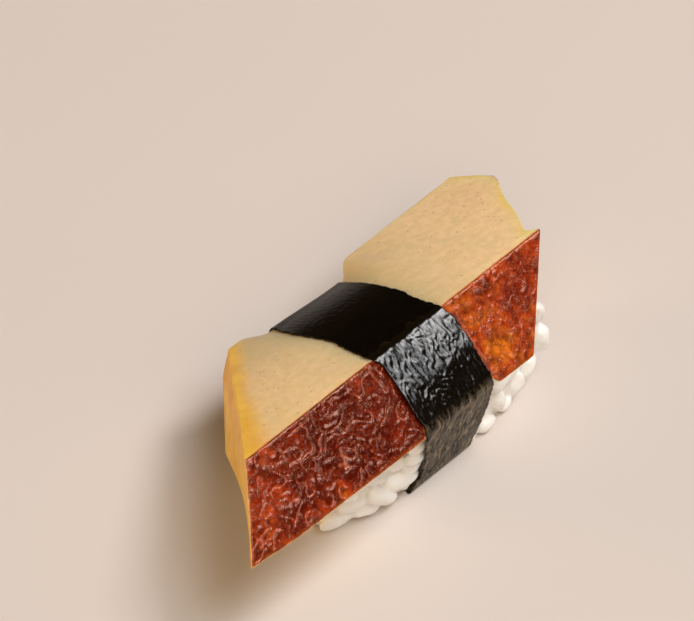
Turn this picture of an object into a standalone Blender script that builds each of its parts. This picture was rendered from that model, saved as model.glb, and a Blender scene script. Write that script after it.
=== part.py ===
"""Tamago nigiri: a slab of sweet omelette lies across a finger of rice, and a band of nori holds them together.

The omelette is a leaning slice. Its two wide faces are cut and its two long narrow sides are browned
crust. It slopes down to the far side, so that the crust on the near side looks up, and both of its ends
are cut at a slant. Everything is laid out from the left end of the ridge, where the near crust meets the
upper cut face: x runs along the ridge, y across the slab to its far side, and z up from the table. At the
end the whole moves so that the world's origin is the middle of its footprint.
"""

import math
import random

import bmesh
import bpy
from mathutils import Euler, Matrix, Vector, noise
from mathutils.bvhtree import BVHTree

MM = 0.001
GAP = 0.3 * MM

# Omelette slab
RIDGE_HEIGHT = 28.6 * MM
RIDGE_LENGTH = 71.5 * MM
CRUST_LEAN = math.radians(35)
CRUST_WIDTH = 16.1 * MM
CRUST_WIDENING = 0.008
CRUST_WAVE = 0.45 * MM
CRUST_WAVE_LENGTH = 31.0 * MM
FAR_THINNING = 0.14
FACE_REACH = 28.1 * MM
FACE_SLOPE = 0.2586
FACE_BOW = 5.43
LEFT_SKEW = 26.0 * MM
LEFT_LEAN = 12.0 * MM
LEFT_BULGE = 1.6 * MM
LEFT_HOLLOW = 1.3 * MM
RIGHT_LEAN = 15.0 * MM
RIGHT_CORNER_ACROSS = 0.67
RIGHT_CORNER_OUT = 15.6 * MM
RIGHT_FAR_OUT = 12.2 * MM
CRUST_TIP = 4.6 * MM
CRUST_RELIEF = 0.30 * MM
FACE_RELIEF = 0.16 * MM
SLAB_CUTS = (41, 11, 4)
SLAB_EDGE = 0.55 * MM

# Nori band
NORI_THICK = 0.35 * MM
BAND_LEFT = 31.5 * MM
BAND_RIGHT = 50.7 * MM
# Where the band's two edges run: share of the way round from the near foot, left x and right x in mm
BAND_EDGES = (
    (0.000, 33.4, 48.9),
    (0.055, 35.0, 49.1),
    (0.110, 34.2, 49.4),
    (0.190, 32.6, 49.5),
    (0.340, 31.5, 50.0),
    (0.420, 32.2, 49.5),
    (0.490, 33.1, 50.1),
    (0.570, 32.8, 50.0),
    (0.680, 34.3, 50.7),
    (0.830, 33.4, 48.9),
    (1.000, 33.4, 48.9),
)
BAND_FLOOR = NORI_THICK + 0.03 * MM
BAND_FOOT_NEAR = -7.6 * MM
BAND_FOOT_FAR = 19.4 * MM
BAND_COLUMNS = 7
FAR_PINCH = 3.2 * MM
CRUST_PINCH = 0.9 * MM
PINCH_MARGIN = 0.5 * MM
PINCH_FADE_NEAR = 1.3 * MM
PINCH_FADE_FAR = 6.5 * MM

# Rice
HEAP_MIDDLE = (43.0 * MM, 5.6 * MM, 6.5 * MM)
CORE_HALF = (27.3 * MM, 12.9 * MM, 16.5 * MM)
HEAP_SQUARENESS = 3.2
RIGHT_BULGE = 4.4 * MM
CORE_MARGIN = 2.5 * MM
GRAIN_LENGTH = 6.2 * MM
GRAIN_WIDTH = 3.1 * MM
CORE_SIDES = (26, 12)
GRAIN_SIDES = (5, 3)
GRAIN_COUNT = 150
GRAIN_SPACING = (3.5 * MM, 2.0 * MM)
GRAIN_CLEARANCE = 0.42 * MM
SEED = 7

OMELETTE_COLOUR = (0.74, 0.46, 0.18)
NORI_COLOUR = (0.012, 0.010, 0.006)
RICE_COLOUR = (0.80, 0.74, 0.64)


def blend(start, end, share):
    return start + (end - start) * share


def ease(share):
    """0 to 1 with a soft start and a soft end."""
    share = min(max(share, 0.0), 1.0)
    return share * share * (3 - 2 * share)


def clear_scene():
    for old in list(bpy.data.objects):
        bpy.data.objects.remove(old, do_unlink=True)


def new_collection(name, hidden=False):
    collection = bpy.data.collections.new(name)
    bpy.context.scene.collection.children.link(collection)
    collection.hide_render = hidden
    return collection


def new_material(name, colour, roughness):
    material = bpy.data.materials.new(name)
    material.use_nodes = True
    shader = material.node_tree.nodes["Principled BSDF"]
    shader.inputs["Base Color"].default_value = (*colour, 1.0)
    shader.inputs["Roughness"].default_value = roughness
    shader.inputs["Metallic"].default_value = 0.0
    return material


def new_object(name, shape, collection, material=None):
    mesh = bpy.data.meshes.new(name)
    shape.to_mesh(mesh)
    obj = bpy.data.objects.new(name, mesh)
    collection.objects.link(obj)
    if material:
        mesh.materials.append(material)
    return obj


def apply_modifiers(obj):
    graph = bpy.context.evaluated_depsgraph_get()
    mesh = bpy.data.meshes.new_from_object(obj.evaluated_get(graph))
    obj.modifiers.clear()
    obj.data = mesh


def tree_of(obj):
    shape = bmesh.new()
    shape.from_mesh(obj.data)
    tree = BVHTree.FromBMesh(shape)
    shape.free()
    return tree


# The slab's section, in the plane across the ridge

def band_hold(x, across):
    """How firmly the band holds the slab at this place: 1 under the band, fading to 0 beside it."""
    outside = max(BAND_LEFT - PINCH_MARGIN - x, x - BAND_RIGHT - PINCH_MARGIN, 0.0)
    return 1 - ease(outside / blend(PINCH_FADE_NEAR, PINCH_FADE_FAR, across))


def crust_width(x, across):
    """The slab's size down its leaning sides: widest at the near crust, and less where the band presses it."""
    wave = CRUST_WAVE * math.cos(2 * math.pi * (x / CRUST_WAVE_LENGTH - 1))
    near = CRUST_WIDTH + CRUST_WIDENING * x + wave - CRUST_PINCH * band_hold(x, 0.0)
    far = (CRUST_WIDTH + CRUST_WIDENING * x) * (1 - FAR_THINNING)
    return blend(near, far, across)


def section(x, across, depth, inset):
    """(y, z) of a point of the slab, drawn in by an inset from each of its four faces."""
    corner = math.pi - CRUST_LEAN - math.atan(FACE_SLOPE)
    width = crust_width(x, across)
    across_inset = inset / (FACE_REACH * math.sin(corner))
    depth_inset = inset / (width * math.sin(corner))
    across = blend(across_inset, 1 - across_inset, across)
    depth = blend(depth_inset, 1 - depth_inset, depth)
    y = FACE_REACH * across
    drop = FACE_SLOPE * y + FACE_BOW * y * y + math.sin(CRUST_LEAN) * width * depth
    y -= FAR_PINCH * band_hold(x, 1.0) * across ** 3 + math.cos(CRUST_LEAN) * width * depth
    return y, RIDGE_HEIGHT - drop


def left_end(across, depth):
    """x of the slanting left cut. It bulges under its far upper corner and is hollow along its lower edge."""
    bulge = LEFT_BULGE * across * ease(depth / 0.25) * (1 - 0.3 * depth)
    hollow = LEFT_HOLLOW * depth * math.sin(math.pi * across)
    return LEFT_SKEW * across - LEFT_LEAN * depth - bulge + hollow


def right_end(across, depth):
    """x of the right cut, with a blunt corner two thirds of the way across and the crust's tip at the ridge."""
    if across < RIGHT_CORNER_ACROSS:
        out = RIGHT_CORNER_OUT * across / RIGHT_CORNER_ACROSS
    else:
        share = (across - RIGHT_CORNER_ACROSS) / (1 - RIGHT_CORNER_ACROSS)
        out = blend(RIGHT_CORNER_OUT, RIGHT_FAR_OUT, share)
    tip = CRUST_TIP * max(1 - across / 0.07, 0.0) * blend(1.0, 0.5, min(depth / 0.3, 1.0))
    return RIDGE_LENGTH + out + tip - RIGHT_LEAN * depth


def slab_point(along, across, depth):
    """A point of the slab from three shares of 0 to 1: left to right, near to far, and top to bottom."""
    x = blend(left_end(across, depth), right_end(across, depth), along)
    inset = (GAP + NORI_THICK) * band_hold(x, across)
    y, z = section(x, across, depth, inset)
    return Vector((x, y, z))


def slab_relief(point, across, depth):
    """The point moved a little in or out: a crumpled crust at the two long sides, a soft swell elsewhere."""
    crumple = noise.fractal(point / (3.4 * MM), 0.9, 2.0, 2)
    swell = noise.noise(point / (9.0 * MM))
    out = Vector((0.0, -math.sin(CRUST_LEAN), math.cos(CRUST_LEAN)))
    up = Vector((0.0, math.sin(0.3), math.cos(0.3)))
    quiet = 1 - band_hold(point.x, across)
    if across in (0.0, 1.0):
        return point + out * (CRUST_RELIEF * crumple * quiet)
    if depth in (0.0, 1.0):
        return point + up * (FACE_RELIEF * swell * quiet)
    return point


def make_omelette(collection):
    shape = bmesh.new()
    bmesh.ops.create_cube(shape, size=1.0, matrix=Matrix.Translation((0.5, 0.5, 0.5)))
    for axis, cuts in enumerate(SLAB_CUTS):
        along_axis = [
            edge
            for edge in shape.edges
            if abs(edge.verts[0].co[axis] - edge.verts[1].co[axis]) > 0.5
        ]
        bmesh.ops.subdivide_edges(shape, edges=along_axis, cuts=cuts, use_grid_fill=True)
    weights = shape.edges.layers.float.new("bevel_weight_edge")
    for edge in shape.edges:
        shared = [
            axis
            for axis in range(3)
            if all(abs(vert.co[axis] - edge.verts[0].co[axis]) < 1e-6 for vert in edge.verts)
            and round(edge.verts[0].co[axis], 5) in (0.0, 1.0)
        ]
        edge[weights] = 1.0 if len(shared) == 2 else 0.0
    for vert in shape.verts:
        along, across, up = (round(value, 6) for value in vert.co)
        point = slab_point(along, across, 1 - up)
        vert.co = slab_relief(point, across, 1 - up)
    bmesh.ops.recalc_face_normals(shape, faces=shape.faces)
    bmesh.ops.triangulate(shape, faces=shape.faces)
    obj = new_object("omelette", shape, collection, new_material("omelette", OMELETTE_COLOUR, 0.45))
    shape.free()
    bevel = obj.modifiers.new("edges", "BEVEL")
    bevel.limit_method = "WEIGHT"
    bevel.width = SLAB_EDGE
    bevel.segments = 1
    apply_modifiers(obj)
    return obj


# The band's way round the slab and the rice

def rounded_loop(corners, sides):
    """Points round a closed path. A corner is ((y, z), radius), and sides gives the steps to the next corner."""
    arcs = []
    for place, (corner, radius) in enumerate(corners):
        corner = Vector(corner)
        back = (Vector(corners[place - 1][0]) - corner).normalized()
        ahead = (Vector(corners[(place + 1) % len(corners)][0]) - corner).normalized()
        reach = radius * math.tan((math.pi - back.angle(ahead)) / 2)
        start = corner + back * reach
        end = corner + ahead * reach
        arcs.append([start, (start + end + corner * 2) / 4, end])
    path = []
    for place, arc in enumerate(arcs):
        path.extend(arc)
        following = arcs[(place + 1) % len(arcs)][0]
        for step in range(1, sides[place]):
            path.append(arc[-1].lerp(following, step / sides[place]))
    return path


def band_loop(x):
    """The band's inner face at x, as (y, z) points from the near foot up, over the slab and down the far side."""
    crust_edge = Vector(section(x, 0.0, 1.0, NORI_THICK))
    tops = [Vector(section(x, share, 0.0, NORI_THICK)) for share in (0.0, 0.25, 0.5, 0.75, 0.9, 1.0)]
    outward = Vector((-0.25, -0.10)) * MM
    corners = [
        ((BAND_FOOT_NEAR, BAND_FLOOR), 0.7 * MM),
        (crust_edge + outward, 0.8 * MM),
        (tops[0], 1.2 * MM),
        (tops[1], 6.0 * MM),
        (tops[2], 6.0 * MM),
        (tops[3], 5.0 * MM),
        (tops[4], 2.5 * MM),
        (tops[5] + Vector((0.45, 0.0)) * MM, 1.3 * MM),
        ((BAND_FOOT_FAR, BAND_FLOOR), 0.9 * MM),
    ]
    return rounded_loop(corners, sides=(7, 6, 2, 2, 2, 1, 1, 6, 8))


def band_edges(share):
    """x of the band's left and right edges at this share of the way round."""
    for (start, *before), (end, *after) in zip(BAND_EDGES, BAND_EDGES[1:]):
        if share <= end:
            part = (share - start) / (end - start)
            return [blend(low, high, part) * MM for low, high in zip(before, after)]


def make_band(collection):
    rounds = len(band_loop(BAND_LEFT))
    shape = bmesh.new()
    rows = []
    for place in range(rounds):
        left, right = band_edges(place / rounds)
        row = []
        for column in range(BAND_COLUMNS):
            x = blend(left, right, column / (BAND_COLUMNS - 1))
            y, z = band_loop(x)[place]
            row.append(shape.verts.new((x, y, z)))
        rows.append(row)
    for place, row in enumerate(rows):
        following = rows[(place + 1) % rounds]
        for column in range(BAND_COLUMNS - 1):
            corners = row[column], row[column + 1], following[column + 1], following[column]
            shape.faces.new(corners)
    bmesh.ops.recalc_face_normals(shape, faces=shape.faces)
    bmesh.ops.triangulate(shape, faces=shape.faces)
    obj = new_object("nori_band", shape, collection, new_material("nori", NORI_COLOUR, 0.4))
    shape.free()
    shell = obj.modifiers.new("thickness", "SOLIDIFY")
    shell.thickness = NORI_THICK
    shell.offset = 1.0
    shell.use_even_offset = True
    apply_modifiers(obj)
    return obj


# The rice

def superellipse(direction, squareness):
    """Stretches a unit direction in the plane to a rounded oblong."""
    size = (abs(direction.x) ** squareness + abs(direction.y) ** squareness) ** (1 / squareness)
    return direction / max(size, 1e-9)


def heap_point(ball_point):
    """A point of the bare core, from a point of a unit ball."""
    ring = Vector((ball_point.x, ball_point.y))
    spread = min(ring.length, 1.0) ** (2 / HEAP_SQUARENESS)
    outline = superellipse(ring.normalized(), HEAP_SQUARENESS) if ring.length > 1e-6 else ring
    lift = math.copysign(abs(ball_point.z) ** (2 / HEAP_SQUARENESS), ball_point.z)
    x = HEAP_MIDDLE[0] + CORE_HALF[0] * spread * outline.x
    y = HEAP_MIDDLE[1] + CORE_HALF[1] * spread * outline.y
    z = HEAP_MIDDLE[2] + CORE_HALF[2] * lift
    bulge = RIGHT_BULGE * max(outline.x, 0.0) * ease(z / (8 * MM))
    return Vector((x + bulge * spread, y, z))


def under_slab(point, slab_tree):
    """The point lowered, where the slab lies over it, to just below the slab."""
    hit = slab_tree.ray_cast(Vector((point.x, point.y, -0.05)), Vector((0, 0, 1)))[0]
    if hit and point.z > hit.z - GAP:
        return Vector((point.x, point.y, hit.z - GAP))
    return point


def inside_band(point):
    """The point drawn in, where the band passes over it, to just inside the band."""
    if not BAND_LEFT - CORE_MARGIN < point.x < BAND_RIGHT + CORE_MARGIN:
        return point
    loop = band_loop(point.x)
    near_top = min(loop, key=lambda place: place.x)
    far_top = max(loop, key=lambda place: place.x)
    rise = min(max(point.z / near_top.y, 0.0), 1.0)
    near = blend(BAND_FOOT_NEAR, near_top.x, rise) + 2 * GAP
    rise = min(max(point.z / far_top.y, 0.0), 1.0)
    far = blend(BAND_FOOT_FAR, far_top.x, rise) - 2 * GAP
    return Vector((point.x, min(max(point.y, near), far), point.z))


def put_in_order(elements, place_of):
    """Orders faces or corners by place, so that every run works through them alike."""
    order = Vector((1.0, 1.618, 2.414))
    elements.sort(key=lambda element: order.dot(place_of(element)))
    elements.index_update()


def ball(segments, rings, matrix=Matrix.Identity(4)):
    shape = bmesh.new()
    bmesh.ops.create_uvsphere(shape, u_segments=segments, v_segments=rings, radius=1.0, matrix=matrix)
    put_in_order(shape.verts, lambda vert: vert.co)
    put_in_order(shape.faces, lambda face: face.calc_center_median())
    return shape


def make_core(collection, slab_tree):
    shape = ball(*CORE_SIDES)
    for vert in shape.verts:
        vert.co = under_slab(inside_band(heap_point(vert.co)), slab_tree)
    obj = new_object("rice", shape, collection, new_material("rice", RICE_COLOUR, 0.35))
    shape.free()
    return obj


def grain_matrix(place, out, size, rng):
    """Turns a unit ball into one grain that lies on the heap."""
    lie = out.to_track_quat("Z", "X").to_matrix().to_4x4()
    tilt = Euler((rng.uniform(-0.3, 0.3), rng.uniform(-0.35, 0.35), rng.uniform(0, math.pi))).to_matrix()
    length = GRAIN_LENGTH * size / 2
    width = GRAIN_WIDTH * size / 2
    stretch = Matrix.Diagonal((length, width, width * 0.92, 1.0))
    centre = place + out * width * 0.25
    return Matrix.Translation(centre) @ lie @ tilt.to_4x4() @ stretch


def is_clear(shape, trees):
    """Whether every corner of a grain, and the middle of each of its faces, keeps its distance from the pieces."""
    spots = [vert.co for vert in shape.verts] + [face.calc_center_median() for face in shape.faces]
    for tree in trees:
        for spot in spots:
            near, normal, _, distance = tree.find_nearest(spot)
            if distance < GRAIN_CLEARANCE or (spot - near).dot(normal) < 0 and distance < 3 * MM:
                return False
    return True


def spot_on(face, rng):
    """A random spot on a face."""
    shares = [rng.random() for _ in face.verts]
    return sum((vert.co * share for vert, share in zip(face.verts, shares)), Vector()) / sum(shares)


def make_grains(core, collection, trees):
    """Grains spread over the core, the largest first, each clear of the slab and the band."""
    rng = random.Random(SEED)
    surface = bmesh.new()
    surface.from_mesh(core.data)
    surface.normal_update()
    faces = [face for face in surface.faces if face.calc_center_median().z > 0.4 * MM]
    areas = [face.calc_area() for face in faces]
    placed = []
    for number in range(GRAIN_COUNT * 60):
        if len(placed) >= GRAIN_COUNT:
            break
        size = blend(1.12, 0.86, len(placed) / GRAIN_COUNT)
        spacing = blend(*GRAIN_SPACING, len(placed) / GRAIN_COUNT)
        face = rng.choices(faces, areas)[0]
        place = spot_on(face, rng)
        if any((place - other).length < spacing for other in placed):
            continue
        shape = ball(*GRAIN_SIDES, grain_matrix(place, face.normal, size, rng))
        if is_clear(shape, trees):
            placed.append(place)
            new_object(f"grain_{number:04d}", shape, collection)
        shape.free()
    surface.free()


def keep_largest_body(obj):
    """Drops loose scraps and fills sealed hollows: of the mesh's separate bodies only the largest stays."""
    shape = bmesh.new()
    shape.from_mesh(obj.data)
    bodies = []
    unseen = set(shape.verts)
    while unseen:
        body = {unseen.pop()}
        edge_of_body = list(body)
        while edge_of_body:
            vert = edge_of_body.pop()
            for edge in vert.link_edges:
                other = edge.other_vert(vert)
                if other in unseen:
                    unseen.discard(other)
                    body.add(other)
                    edge_of_body.append(other)
        bodies.append(body)
    bodies.sort(key=len)
    for body in bodies[:-1]:
        bmesh.ops.delete(shape, geom=list(body), context="VERTS")
    shape.to_mesh(obj.data)
    shape.free()


def hide_cutter(obj):
    obj.hide_render = True
    obj.display_type = "WIRE"
    return obj


def table_cutter(collection):
    """Everything below the table."""
    size = 200 * MM
    shape = bmesh.new()
    bmesh.ops.create_cube(shape, size=size, matrix=Matrix.Translation((0, 0, -size / 2)))
    obj = new_object("below_table", shape, collection)
    shape.free()
    return hide_cutter(obj)


def room_cutter(piece, collection):
    """A copy of a piece grown by the gap that the rice keeps to it."""
    shape = bmesh.new()
    shape.from_mesh(piece.data)
    shape.normal_update()
    moves = [vert.normal * GAP * min(vert.calc_shell_factor(), 2.5) for vert in shape.verts]
    for vert, move in zip(shape.verts, moves):
        vert.co += move
    obj = new_object(f"room_for_{piece.name}", shape, collection)
    shape.free()
    return hide_cutter(obj)


def make_rice(collection, cutters, slab, band):
    core = make_core(collection, tree_of(slab))
    grains = new_collection("grains")
    make_grains(core, grains, [tree_of(slab), tree_of(band)])
    union = core.modifiers.new("grains", "BOOLEAN")
    union.operation = "UNION"
    union.operand_type = "COLLECTION"
    union.collection = grains
    apply_modifiers(core)
    for grain in list(grains.objects):
        bpy.data.objects.remove(grain, do_unlink=True)
    bpy.data.collections.remove(grains)
    for cutter in (table_cutter(cutters), room_cutter(slab, cutters), room_cutter(band, cutters)):
        cut = core.modifiers.new(cutter.name, "BOOLEAN")
        cut.operation = "DIFFERENCE"
        cut.object = cutter
    apply_modifiers(core)
    keep_largest_body(core)
    return core


def centre_on_origin(pieces):
    """Moves the pieces together, so that the origin is the middle of their footprint."""
    points = [vert.co for piece in pieces for vert in piece.data.vertices]
    low = Vector([min(point[axis] for point in points) for axis in range(3)])
    high = Vector([max(point[axis] for point in points) for axis in range(3)])
    shift = Vector(((low.x + high.x) / 2, (low.y + high.y) / 2, low.z))
    for piece in pieces:
        piece.data.transform(Matrix.Translation(-shift))


def main():
    clear_scene()
    nigiri = new_collection("tamago_nigiri")
    cutters = new_collection("cutters", hidden=True)
    omelette = make_omelette(nigiri)
    band = make_band(nigiri)
    rice = make_rice(nigiri, cutters, omelette, band)
    pieces = (omelette, band, rice)
    centre_on_origin(pieces)
    for piece in pieces:
        piece.data.shade_smooth()
        piece.data.set_sharp_from_angle(angle=math.radians(35))


main()
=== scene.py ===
import functools
import math
import random

import bmesh
import bpy
import numpy as np
from mathutils import Euler, Matrix, Vector, noise
from mathutils.bvhtree import BVHTree


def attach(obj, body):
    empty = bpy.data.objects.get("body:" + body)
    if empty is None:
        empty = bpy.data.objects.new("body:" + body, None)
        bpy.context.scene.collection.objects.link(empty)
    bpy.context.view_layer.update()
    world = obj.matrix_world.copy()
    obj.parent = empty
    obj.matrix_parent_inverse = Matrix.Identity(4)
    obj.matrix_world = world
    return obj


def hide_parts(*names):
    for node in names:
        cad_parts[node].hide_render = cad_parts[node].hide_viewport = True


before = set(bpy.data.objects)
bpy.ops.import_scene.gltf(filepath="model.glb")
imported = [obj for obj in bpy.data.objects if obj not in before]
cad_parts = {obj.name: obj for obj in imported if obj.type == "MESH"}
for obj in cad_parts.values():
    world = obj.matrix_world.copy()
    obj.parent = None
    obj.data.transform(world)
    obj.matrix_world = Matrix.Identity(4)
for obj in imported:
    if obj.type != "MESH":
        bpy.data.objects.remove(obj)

# The looks of the tamago nigiri. The slab of omelette, the band of nori and the rice are made again with
# fine relief, on driving dimensions close to those of the solids that they stand for. As in the solids, x
# runs along the slab's upper near edge, the ridge, from its left end; y runs to the far side, and z up.

MM = 0.001
RIDGE_START = Vector((-37.827, -7.217, 0.0)) * MM
GRAIN_SEED = 11
RELIEF_SEED = 5

# Omelette slab: its shape
RIDGE_HEIGHT = 28.6 * MM
RIDGE_LENGTH = 71.5 * MM
CRUST_LEAN = math.radians(35)
CRUST_WIDTH = 16.0 * MM
CRUST_WIDENING = 0.0145
CRUST_TIP_LOSS = 0.6 * MM
FAR_THINNING = 0.14
FACE_REACH = 28.1 * MM
FACE_SLOPE = 0.2586
FACE_BOW = 5.43
LEFT_SKEW = 26.0 * MM
LEFT_LEAN = 12.0 * MM
LEFT_BULGE = 1.6 * MM
BULGE_START = 0.25
LEFT_HOLLOW = 1.3 * MM
RIGHT_LEAN = 15.0 * MM
RIGHT_CORNER_ACROSS = 0.67
RIGHT_CORNER_OUT = 15.0 * MM
RIGHT_WAVE = 0.9 * MM
RIGHT_FAR_OUT = 12.2 * MM
CRUST_TIP = 4.6 * MM
CRUST_TIP_ACROSS = 0.07
SLAB_CELLS = (430, 26, 84)
SLAB_CROWDING = (0.0, 0.75, 0.0)
SLAB_EDGE = 0.5 * MM
SLAB_EDGE_PASSES = 7

# Omelette slab: its relief. Rates are waves a millimetre
FACE_RELIEF = 0.16 * MM
FACE_SWELL = 9.0 * MM
FACE_GRAIN = 1.6 * MM
FACE_GRAIN_SHARE = 0.22
CRUST_RELIEF = 0.18 * MM
CRUST_LEVEL = -0.20
DRIFT_RATE = 0.25
DRIFT_REACH = 1.8
CRUMPLE_DRIFT = 0.6
GAP_RATE = 0.30
WRINKLE_THINNESS = 0.095
GAP_SPAN = (-0.30, -0.05)
BLISTER_RATE = 0.26
WRINKLE_RATE = 0.36
CRUMPLE_RATE = 0.75
GRIT_RATE = 1.40
# Shares of the relief; where there are two, they are for the crust's finer right and its coarser left
BLISTER_SHARE = 0.45
WRINKLE_SHARES = (0.30, 0.85)
CRUMPLE_SHARES = (0.55, 0.40)
GRIT_SHARE = 0.16
# Shares of the painted highlight on the wrinkles: for the crust's finer right and its coarser left
WRINKLE_GLINT_SHARES = (0.3, 0.6)
COARSE_SPAN = (44.0 * MM, 30.0 * MM)
FAR_CRUST_COARSE = 0.5
FINER_RIGHT = 0.5
QUIET_RIM = 0.8 * MM
RIM_RELIEF = 0.35

# Omelette slab: its shades
# Patches of the near crust: x in mm, share of the way down, radius in mm, and how much lighter than the rest
CRUST_PATCHES = (
    (21.0, 0.45, 10.0, -0.16),
    (11.0, 0.88, 3.2, 0.22),
    (-5.0, 0.80, 5.0, 0.14),
    (54.0, 0.69, 3.0, 0.32),
    (53.0, 0.12, 3.0, 0.14),
    (66.0, 0.25, 6.0, -0.10),
)
CRUST_LIGHTER_RIGHT = 0.12
LIGHTER_SPAN = (30.0 * MM, 45.0 * MM)
RIDGE_RIM_FREE = 0.45 * MM
# How far the ends' painted glow reaches: less at the right end, further at the left's near corner
RIGHT_PALER = 2.4 * MM
LEFT_CORNER_DEEPER = 2.8 * MM
MOST_YELLOW = 0.45
YELLOW_FADE = 70 * MM
# Painted shade on the cut faces: beside the band, and along their far edge
BAND_SIDE_SHADE_REACH = 5.5 * MM
BAND_SIDE_SHADE = 0.65
FAR_SHADE = 0.62
FAR_SHADE_ACROSS = (0.35, 0.95)
FAR_SHADE_ALONG = (70 * MM, 45 * MM)

# Nori band
NORI_GAP = 0.05 * MM
NORI_THICK = 0.35 * MM
BAND_LEFT = 31.5 * MM
BAND_RIGHT = 50.7 * MM
# Where the band's two edges run: share of the way round from the near foot, left x and right x in mm
BAND_EDGES = (
    (0.000, 33.4, 48.9),
    (0.050, 35.1, 49.6),
    (0.110, 34.2, 49.8),
    (0.186, 32.3, 49.3),
    (0.235, 32.4, 49.7),
    (0.310, 33.2, 50.5),
    (0.336, 32.2, 49.8),
    (0.380, 32.5, 49.6),
    (0.430, 33.4, 50.3),
    (0.510, 33.1, 50.5),
    (0.550, 33.6, 50.4),
    (0.585, 34.4, 50.5),
    (0.680, 34.3, 50.7),
    (0.830, 33.4, 48.9),
    (1.000, 33.4, 48.9),
)
BAND_FLOOR = NORI_THICK + 0.03 * MM
BAND_FOOT_NEAR = -7.6 * MM
BAND_FOOT_FAR = 19.4 * MM
BAND_CELLS = (520, 88)
BAND_STATIONS = 20
BAND_ARC_STEPS = 6
BAND_TOP_STEPS = 24
BAND_TOP_SPAN = (0.08, 0.90)
BAND_RAGGED = 0.22 * MM
RAGGED_SIZE = 1.1 * MM
BAND_PROUD = 0.15 * MM
# Its corners' radii, from the near foot up over the slab and down to the far foot
NEAR_FOOT_RADIUS = 0.7 * MM
SHOULDER_RADIUS = 1.6 * MM
RIDGE_RADIUS = 1.4 * MM
FAR_FOOT_RADIUS = 0.9 * MM
NEAR_SHOULDER_OUT = Vector((-0.25, -0.10)) * MM
FAR_SHOULDER_OUT = Vector((0.30, 0.0)) * MM
CRUST_SWELL = Vector((-0.574, 0.819)) * 0.65 * MM
SWELL_DEPTH = 0.55
SWELL_RADIUS = 10.0 * MM
# How far the band draws the slab in: at its far side from left to right, and at its near crust
FAR_PINCH = (1.9 * MM, 3.2 * MM)
CRUST_PINCH = 0.75 * MM
PINCH_MARGIN = (0.35 * MM, 0.4 * MM)
PINCH_FADE = (0.5 * MM, 5.5 * MM)
# Shares of the way round at which the band meets the slab's parts
RIDGE_SHARE = 0.334
FAR_EDGE_SHARE = 0.576
CRUST_SHARE = 0.145
CRUST_MIDDLE_SHARE = 0.262
FAR_SIDE_SHARE = 0.10
# Its relief
BAND_RELIEF = 0.10 * MM
BAND_LEVEL = -0.5
FIBRE_DRIFT_RATE = 0.30
FIBRE_DRIFT_REACH = 1.6
FIBRE_SHARPNESS = 2.6
# Fibres: rate along the band and across it, place in the noise, share of the drift, and weight
BAND_FIBRES = ((0.26, 1.10, 0.0, 1.0, 0.7), (0.45, 1.80, 5.0, 1.2, 0.6))
# Crumples and slow swells: rate, place in the noise, and weight
BAND_SWELLS = ((0.25, (0, 0, 9), 0.9), (0.11, (5, 0, 2), 2.2))
FOLD_CRUMPLE = 0.22 * MM
FOLD_SIZE = (4.0 * MM, 2.2 * MM)
FOLD_LEVEL = 0.1
FOLD_WIDTH = 0.022
FOLD_WAVER = 0.012
QUIET_ABOVE_TABLE = 3.0 * MM
# Where its flat top runs, where it hangs free on the far side, and how strong the relief is on its parts
TOP_START = RIDGE_SHARE + 0.0028
TOP_END = FAR_EDGE_SHARE + 0.02
FAR_HANG_SHARE = FAR_EDGE_SHARE + 0.04
FAR_FOLD_SHARE = FAR_EDGE_SHARE - 0.02
FAR_FOLD_WIDTH = 0.035
HANG_FADE = 0.02
TOP_CRUMPLE = 0.12
HANG_CRUMPLE = 0.9
FAR_FOLD_CRUMPLE = 0.7
WEAVE_SIZE = (2.4 * MM, 0.55 * MM)
# Its three looks: how shiny each is, and how deep its fibres are
NORI_LOOKS = {
    "seaweed": (0.5, 0.07 * MM),
    "seaweed_top": (0.09, 0.10 * MM),
    "seaweed_side": (0.18, 0.35 * MM),
}

# Rice
HEAP_MIDDLE = (43.0 * MM, 5.6 * MM, 6.5 * MM)
CORE_HALF = (27.3 * MM, 12.9 * MM, 16.5 * MM)
HEAP_SQUARENESS = 3.2
RIGHT_BULGE = 4.4 * MM
RIGHT_BULGE_RISE = 8.0 * MM
CORE_MARGIN = 2.5 * MM
CORE_CLEARANCE = 0.6 * MM
CORE_SIDES = (120, 48)
CORE_RELIEF = 0.4 * MM
CORE_BUMP = 2.4 * MM
CORE_SINK = 0.2 * MM
SCATTER_FROM = 0.5 * MM
GRAIN_LENGTH = 6.8 * MM
GRAIN_WIDTH = 3.5 * MM
GRAIN_FLATNESS = 0.92
GRAIN_SIDES = (14, 10)
GRAIN_TRIES = 14000
GRAIN_SIZES = (1.08, 0.80)
GRAIN_SPACING = (2.9 * MM, 2.1 * MM)
GRAIN_SINKS = (0.14, -0.20)
GRAIN_SPINE = (-0.62, 0.0, 0.62)
GRAIN_TILTS = (0.3, 0.22)
GRAIN_BEND = 0.10
GRAIN_TAPERS = (0.05, 0.16)
GRAIN_BLUNTNESS = 2.5
GRAIN_NICK = 0.10
GRAIN_NICK_SPAN = (0.55, 0.90)
GRAIN_FACETS = 5
FACET_TURN = 0.7
FACET_LIMITS = (0.70, 0.92)
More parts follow.
